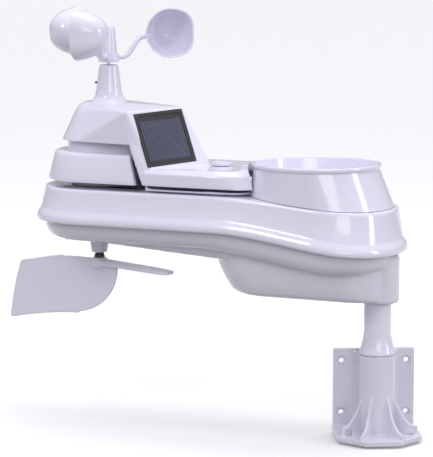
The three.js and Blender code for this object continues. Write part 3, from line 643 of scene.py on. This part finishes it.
def cup_solids():
    """A cup, out along its outer face and back along its inner one, and the arm that carries it."""
    angles = [2 * math.pi * i / ROUND for i in range(ROUND)]
    rings = [[cup_point(max(r, 0.01), CUP_DEPTH * y, a) for a in angles] for r, y in CUP_OUTER + CUP_INNER]
    return [loft(rings), sweep([Vector((x, 0, HUB_Z + up)) for x, up in ARM_RISE], 2.1)]


def make_rotor():
    hub = raw_object("hub_turned", turned([(r, HUB_Z + up) for r, up in HUB_SIDE]))
    combine(hub, "DIFFERENCE", rod(SHAFT_BORE, (0, 0, 280), (0, 0, CUP_Z)))
    piece(hub, ROTOR, "rotor", "white_abs", WHITE, "cup_hub")
    first = soften(raw_object("cup_moulding", *cup_solids()), voxel=0.5, rounds=3)
    combine(first, "DIFFERENCE", rod(8.75, (0, 0, 280), (0, 0, 330), ROUND))
    for number, angle in enumerate(CUP_ANGLES, 1):
        cup = bpy.data.objects.new(f"cup_moulding_{number}", first.data.copy())
        bpy.context.scene.collection.objects.link(cup)
        turn = ROTOR @ Matrix.Rotation(math.radians(angle), 4, "Z")
        piece(cup, turn, "rotor", "white_abs", WHITE, f"cup_{number}", sharp=60)
    bpy.data.objects.remove(first)
    pin = rod(1.0, (MAST_X - 12.5, 0, PIN_Z), (MAST_X - 6.8, 0, PIN_Z))
    piece(raw_object("pin_turned", pin), HEAD, "head", "black_plastic", BLACK, "mast_pin")


# ---- Wind vane ----
def bezier(points, steps=16):
    p0, p1, p2, p3 = [Vector(p) for p in points]
    out = []
    for i in range(steps):
        t = i / steps
        out.append(p0 * (1 - t) ** 3 + p1 * 3 * t * (1 - t) ** 2 + p2 * 3 * t * t * (1 - t) + p3 * t**3)
    return out


FIN_CURVES = (
    ((20, 119), (19, 100), (2, 83), (-24, 79)),
    ((-24, 79), (-50, 77.5), (-80, 72), (-104.4, 66.8)),
    ((-104.4, 66.8), (-102, 82), (-98, 100), (-91, 115.6)),
    ((-91, 115.6), (-70, 120), (-50, 124), (-37, 125.5)),
    ((-37, 125.5), (-20, 126.6), (-8, 126.4), (20, 126.4)),
)


# The pointer arm's stations: distance from the shaft, half width, underside and top.
ARM_STATIONS = (
    (-4, 5.2, -2.4, 2.2), (20, 5.9, -2.6, 1.4), (60, 6.3, -3.4, 0.0), (73, 5.9, -3.7, -0.6),
    (77, 4.4, -3.5, -0.9), (78.4, 2.4, -3.1, -1.1),
)


def make_vane():
    """The pointer and its tail fin, with a rolled lip round the fin's free edge."""
    edge = [p for curve in FIN_CURVES for p in bezier(curve)]
    fin = prism([(p.x, p.y) for p in edge], "y", -0.95, 0.95)
    lip_points = [p for curve in FIN_CURVES[1:4] for p in bezier(curve, 8)]
    lip = sweep([Vector((p.x * 0.985 - 0.4, 0, p.y)) for p in lip_points], 1.25, 16, 2)
    arm = hull([Vector((x, y * side, VANE_Z + z)) for x, y, low, high in ARM_STATIONS for side in (-1, 1)
                for z in (low, high)])
    boss = turned([(0, 119), (5.9, 119), (6.5, 120), (6.5, 126.8), (6, 127.5), (0, 127.5)])
    obj = soften(raw_object("vane_moulding", fin, lip, arm, boss), voxel=0.5, rounds=3)
    combine(obj, "DIFFERENCE", rod(SHAFT_BORE, (0, 0, 121.5), (0, 0, 135)))
    piece(obj, VANE, "vane", "white_abs", WHITE, "vane_pointer")
    collar = turned([(1.9, 128), (4.6, 128), (4.2, 129.4), (3, 132.6), (1.9, 132.6)])
    piece(raw_object("collar_turned", collar), VANE, "vane", "black_plastic", BLACK, "vane_collar")
    shaft = raw_object("shaft_turned", rod(1.5, (0, 0, 121.9), (0, 0, 159)))
    piece(shaft, VANE, "vane", "steel", STEEL, "vane_shaft")


# ---- Rain collector ----
def make_collector():
    """The wall lofts from a long foot to a round rim, then turns in to the funnel and back under it."""
    x, r, top = COLLECTOR_X, COLLECTOR_R, COLLECTOR_Z
    foot = collector_foot(0, 0.4)
    mouth = [Vector((x + (r - 1.4) * math.cos(a), (r - 1.4) * math.sin(a), top - 4))
             for a in (math.atan2(p.y, p.x - x) for p in foot)]

    def ring(radius, z):
        return [Vector((x + (p.x - x) * radius / (r - 1.4), p.y * radius / (r - 1.4), z)) for p in mouth]

    wall = [[a.lerp(b, t) for a, b in zip(foot, mouth)] for t in (0, 0.03, 0.25, 0.5, 0.75, 0.97, 1)]
    rim = [ring(r - 0.4, top - 3.2), ring(r, top - 2.2), ring(r, top - 0.9), ring(r - 0.5, top - 0.1),
           ring(r - 1.3, top), ring(r - 2.0, top - 0.4), ring(r - 2.3, top - 1.6)]
    funnel = [ring(r - 2.6, 208), ring(r - 3.6, 203), ring(r - 5, 200.2), ring(r - 8, 198.8), ring(24, 196.2),
              ring(6, 194), ring(3.6, 193), ring(3.6, 183), ring(5.6, 183), ring(6.2, 191.5), ring(10, 192.6)]
    under = [ring(r - 9, 196), ring(r - 4.4, 200)]
    inside = [[a.lerp(b, t) for a, b in zip(collector_foot(WALL, 0.4), under[-1])] for t in (0.5, 0)]
    obj = raw_object("collector_moulding", loft(wall + rim + funnel + under + inside, loop=True))
    piece(obj, HEAD, "collector", "white_abs", WHITE, "rain_collector", sharp=60)


def make_screen():
    ring = turned([(13.6, 201), (16, 201), (16, 203.4), (13.6, 203.4)], x=COLLECTOR_X)
    bars = []
    for row in range(-3, 4):
        y = 3.5 * row
        reach = math.sqrt(14.4**2 - y * y)
        bars.append(block(COLLECTOR_X - reach, COLLECTOR_X + reach, y - 0.7, y + 0.7, 201.4, 202.8))
    feet = []
    for i in range(3):
        a = 2 * math.pi * i / 3
        x, y = COLLECTOR_X + 14.8 * math.cos(a), 14.8 * math.sin(a)
        feet.append(rod(1.4, (x, y, 196.6), (x, y, 201.5), 24))
    obj = soften(raw_object("screen_moulding", ring, *bars, *feet), voxel=0.35, rounds=2)
    piece(obj, HEAD, "screen", "housing_abs", HOUSING, "debris_screen")


def make_door():
    """The battery door: a flat lid with a raised latch and four grip bars beside it."""
    half = DOOR_HALF - GAP
    lid = block(DOOR_X0 + GAP, DOOR_X1 - GAP, -half, half, SUMP_Z, SUMP_Z + DOOR_THICK)
    latch = block(DOOR_X1 - 10, DOOR_X1 - 2, -6, 6, SUMP_Z - 2, SUMP_Z + 1)
    starts = [DOOR_X1 - 14.5 - 2 * i for i in range(4)]
    grips = [block(x, x + 1, -6, 6, SUMP_Z - 0.7, SUMP_Z + 0.5) for x in starts]
    obj = soften(raw_object("door_moulding", lid, latch, *grips), voxel=0.4, rounds=2)
    piece(obj, HEAD, "door", "housing_abs", HOUSING, "battery_door")


# ---- Floor, light and camera ----
def area_light(name, place, target, size, power, color=(1, 1, 1)):
    data = bpy.data.lights.new(name, "AREA")
    data.shape = "RECTANGLE"
    data.size, data.size_y = size
    data.energy = power
    data.color = color
    light = bpy.data.objects.new(name, data)
    light.location = place
    light.rotation_euler = (Vector(target) - Vector(place)).to_track_quat("-Z", "Y").to_euler()
    bpy.context.scene.collection.objects.link(light)


def make_studio():
    floor = raw_object("studio_floor", block(-60000, 60000, -60000, 60000, -22, -2))
    floor.data.transform(Matrix.Scale(MM, 4))
    paper = material("floor", (0.97, 0.97, 0.965), 0.8, grain=60.0, bump=0.01, mottle=0.01)
    floor.data.materials.append(paper)
    floor.visible_diffuse = False
    world = bpy.data.worlds.new("studio")
    world.use_nodes = True
    nodes, links = world.node_tree.nodes, world.node_tree.links
    kinds = ("ShaderNodeTexCoord", "ShaderNodeSeparateXYZ", "ShaderNodeValToRGB")
    place, split, ramp = [nodes.new(kind) for kind in kinds]
    links.new(place.outputs["Generated"], split.inputs["Vector"])
    links.new(split.outputs["Z"], ramp.inputs["Fac"])
    links.new(ramp.outputs["Color"], nodes["Background"].inputs["Color"])
    ramp.color_ramp.elements[0].color = (0.30, 0.285, 0.29, 1)
    ramp.color_ramp.elements[0].position = 0.0
    ramp.color_ramp.elements[1].color = (0.95, 0.95, 1.0, 1)
    ramp.color_ramp.elements[1].position = 0.75
    nodes["Background"].inputs["Strength"].default_value = 1.16
    bpy.context.scene.world = world
    middle = (-0.12, 0.05, 0.18)
    area_light("key", (-1.1, -0.9, 1.3), middle, (0.34, 0.5), 4.5, (1.0, 0.99, 0.98))
    area_light("front", (0.15, -1.9, 0.75), middle, (0.9, 0.5), 4.5)
    area_light("top", (0.1, 0.4, 1.6), middle, (0.9, 0.6), 3.5, (0.98, 0.98, 1.0))
    area_light("side", (1.2, -0.5, 0.6), middle, (0.22, 0.6), 3.5)
    bpy.context.scene.view_settings.view_transform = "Standard"


def make_camera():
    data = bpy.data.cameras.new("camera")
    data.sensor_width = 36
    data.lens = 153.4
    data.clip_end = 200
    camera = bpy.data.objects.new("camera", data)
    camera.location = (-0.2302, -1.4916, 0.3736)
    camera.rotation_euler = (math.radians(90 - 7.88), 0, math.radians(-3.97))
    bpy.context.scene.collection.objects.link(camera)
    bpy.context.scene.camera = camera


make_camera()
dress_cad_nodes()
for make in (make_bracket, make_post, make_skirt, make_under_housing, make_cover, make_louver, make_neck,
             make_panel, make_level, make_rotor, make_vane, make_collector, make_screen, make_door):
    make()
make_studio()
